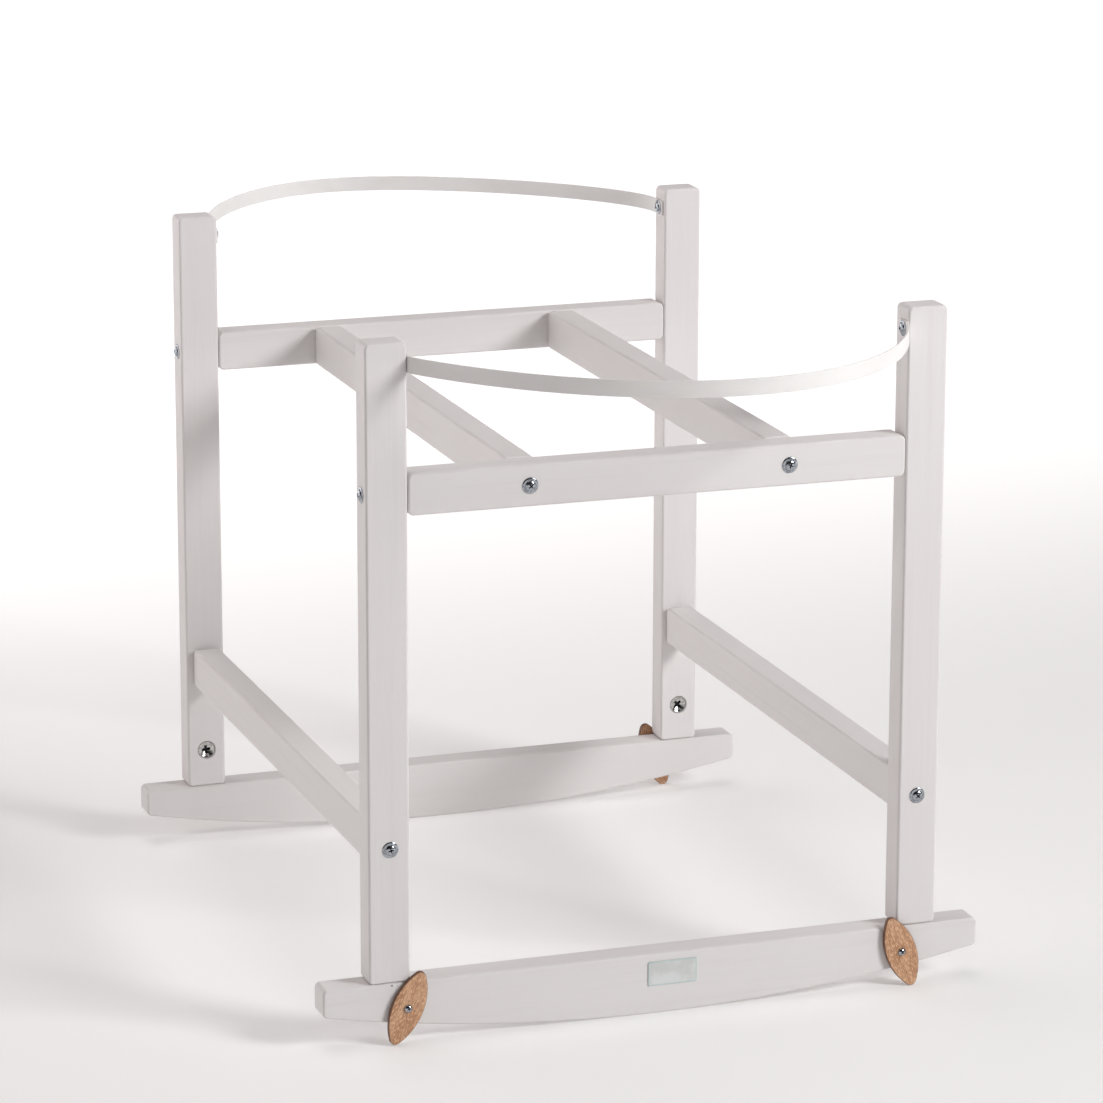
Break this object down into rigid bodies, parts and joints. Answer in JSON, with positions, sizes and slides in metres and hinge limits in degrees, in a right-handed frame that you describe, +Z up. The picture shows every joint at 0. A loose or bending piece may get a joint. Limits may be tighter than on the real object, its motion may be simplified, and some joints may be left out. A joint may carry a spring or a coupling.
{
  "type": "moses basket rocking stand",
  "caption": "White wooden stand that holds a Moses basket between four posts on two curved rockers, with bowed end strips and turning leaf-shaped stops that lock the rocking.",
  "frame": {"origin": "on the floor below the middle of the stand, which stands level", "axes": "+X to the right along the rockers, the way the stand rocks; +Y from the front to the rear; +Z up"},
  "size_m": [0.579, 0.9516, 0.586],
  "materials": {
    "white_paint": "satin white paint on planed wood, edges sanded round",
    "hoop_enamel": "satin white enamel",
    "bright_zinc": "bright zinc plate",
    "cam_zinc": "die-cast, dull bright",
    "stained_beech": "oiled beech with short dark flecks",
    "dowel_beech": "bare beech",
    "label_foil": "satin foil, blank"
  },
  "bodies": {
    "frame": {"post_front_left": "white_paint", "post_front_right": "white_paint", "post_rear_left": "white_paint", "post_rear_right": "white_paint", "rocker_front": "white_paint", "rocker_rear": "white_paint", "end_rail_front": "white_paint", "end_rail_rear": "white_paint", "bearer_left": "white_paint", "bearer_right": "white_paint", "side_rail_left": "white_paint", "side_rail_right": "white_paint", "hoop_front": "hoop_enamel", "hoop_rear": "hoop_enamel", "screw_side_rail_front_left": "bright_zinc", "screw_side_rail_front_right": "bright_zinc", "screw_side_rail_rear_left": "bright_zinc", "screw_side_rail_rear_right": "bright_zinc", "screw_end_rail_front_left": "bright_zinc", "screw_end_rail_front_right": "bright_zinc", "screw_end_rail_rear_left": "bright_zinc", "screw_end_rail_rear_right": "bright_zinc", "screw_bearer_front_left": "bright_zinc", "screw_bearer_front_right": "bright_zinc", "screw_bearer_rear_left": "bright_zinc", "screw_bearer_rear_right": "bright_zinc", "screw_hoop_front_left": "bright_zinc", "screw_hoop_front_right": "bright_zinc", "screw_hoop_rear_left": "bright_zinc", "screw_hoop_rear_right": "bright_zinc", "cam_nut_front_left": "cam_zinc", "cam_nut_front_right": "cam_zinc", "cam_nut_rear_left": "cam_zinc", "cam_nut_rear_right": "cam_zinc", "cam_bolt_front_left": "bright_zinc", "cam_bolt_front_right": "bright_zinc", "cam_bolt_rear_left": "bright_zinc", "cam_bolt_rear_right": "bright_zinc", "dowel_post_front_left": "dowel_beech", "dowel_post_front_right": "dowel_beech", "dowel_post_rear_left": "dowel_beech", "dowel_post_rear_right": "dowel_beech", "dowel_side_rail_front_left": "dowel_beech", "dowel_side_rail_front_right": "dowel_beech", "dowel_side_rail_rear_left": "dowel_beech", "dowel_side_rail_rear_right": "dowel_beech", "dowel_bearer_front_left": "dowel_beech", "dowel_bearer_front_right": "dowel_beech", "dowel_bearer_rear_left": "dowel_beech", "dowel_bearer_rear_right": "dowel_beech", "stop_screw_front_left": "bright_zinc", "stop_screw_front_right": "bright_zinc", "stop_screw_rear_left": "bright_zinc", "stop_screw_rear_right": "bright_zinc", "label_plate": "label_foil"},
    "stop_front_left": {"stop_leaf_front_left": "stained_beech"},
    "stop_front_right": {"stop_leaf_front_right": "stained_beech"},
    "stop_rear_left": {"stop_leaf_rear_left": "stained_beech"},
    "stop_rear_right": {"stop_leaf_rear_right": "stained_beech"}
  },
  "joints": [
    {"name": "stop_front_left_turn", "type": "hinge", "parent": "frame", "child": "stop_front_left", "pos_m": [-0.2185, -0.30255, 0.0311], "axis": [0, 1, 0], "continuous": true},
    {"name": "stop_front_right_turn", "type": "hinge", "parent": "frame", "child": "stop_front_right", "pos_m": [0.2185, -0.30255, 0.0311], "axis": [0, 1, 0], "continuous": true},
    {"name": "stop_rear_left_turn", "type": "hinge", "parent": "frame", "child": "stop_rear_left", "pos_m": [-0.2185, 0.30255, 0.0311], "axis": [0, 1, 0], "continuous": true},
    {"name": "stop_rear_right_turn", "type": "hinge", "parent": "frame", "child": "stop_rear_right", "pos_m": [0.2185, 0.30255, 0.0311], "axis": [0, 1, 0], "continuous": true}
  ]
}
